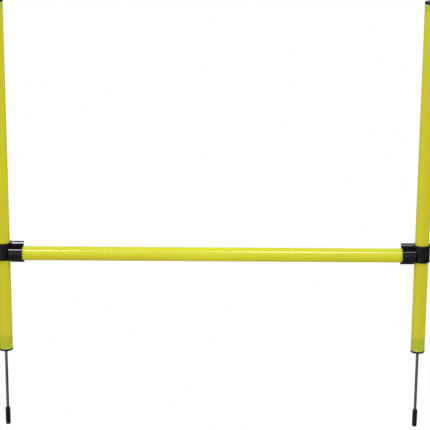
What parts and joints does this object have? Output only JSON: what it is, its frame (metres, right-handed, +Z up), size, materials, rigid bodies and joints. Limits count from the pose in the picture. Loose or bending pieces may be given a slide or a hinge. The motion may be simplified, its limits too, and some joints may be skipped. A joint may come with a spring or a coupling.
{
  "type": "agility hurdle",
  "caption": "Agility hurdle for pets: round tube uprights on covered steel ground spikes carry a crossbar in moulded clips that slide up and down to set the jump height.",
  "frame": {"origin": "on the lawn surface, midway between the uprights, level with the underside of the ground plugs", "axes": "+X along the crossbar towards the right upright, +Y to the back, the way the crossbar leaves its clips, +Z up along the uprights"},
  "size_m": [0.9994, 0.0424, 1.015],
  "materials": {
    "upright_plastic": "gloss",
    "crossbar_plastic": "gloss",
    "clip_plastic": "gloss",
    "cap_plastic": "satin",
    "cover_plastic": "satin",
    "rod_steel": "satin"
  },
  "bodies": {
    "stand": {"left_upright_tube": "upright_plastic", "right_upright_tube": "upright_plastic", "left_top_cap": "cap_plastic", "right_top_cap": "cap_plastic", "left_ground_plug": "cap_plastic", "right_ground_plug": "cap_plastic", "left_ground_rod": "rod_steel", "right_ground_rod": "rod_steel"},
    "left_clip": {"left_clip": "clip_plastic"},
    "right_clip": {"right_clip": "clip_plastic"},
    "crossbar": {"crossbar_tube": "crossbar_plastic", "crossbar_left_cap": "cap_plastic", "crossbar_right_cap": "cap_plastic"},
    "left_tip_cover": {"left_tip_cover": "cover_plastic"},
    "right_tip_cover": {"right_tip_cover": "cover_plastic"}
  },
  "joints": [
    {"name": "left_clip_height", "type": "slide", "parent": "stand", "child": "left_clip", "axis": [0, 0, 1], "range_m": [-0.2, 0.55]},
    {"name": "right_clip_height", "type": "slide", "parent": "stand", "child": "right_clip", "axis": [0, 0, 1], "range_m": [-0.2, 0.55]},
    {"name": "crossbar_release", "type": "slide", "parent": "left_clip", "child": "crossbar", "axis": [0, 1, 0], "range_m": [0, 0.06]},
    {"name": "left_tip_cover_pull", "type": "slide", "parent": "stand", "child": "left_tip_cover", "axis": [0, 0, -1], "range_m": [0, 0.06]},
    {"name": "right_tip_cover_pull", "type": "slide", "parent": "stand", "child": "right_tip_cover", "axis": [0, 0, -1], "range_m": [0, 0.06]}
  ],
  "couplings": [
    {"joint": "right_clip_height", "follows": "left_clip_height", "ratio": 1}
  ]
}
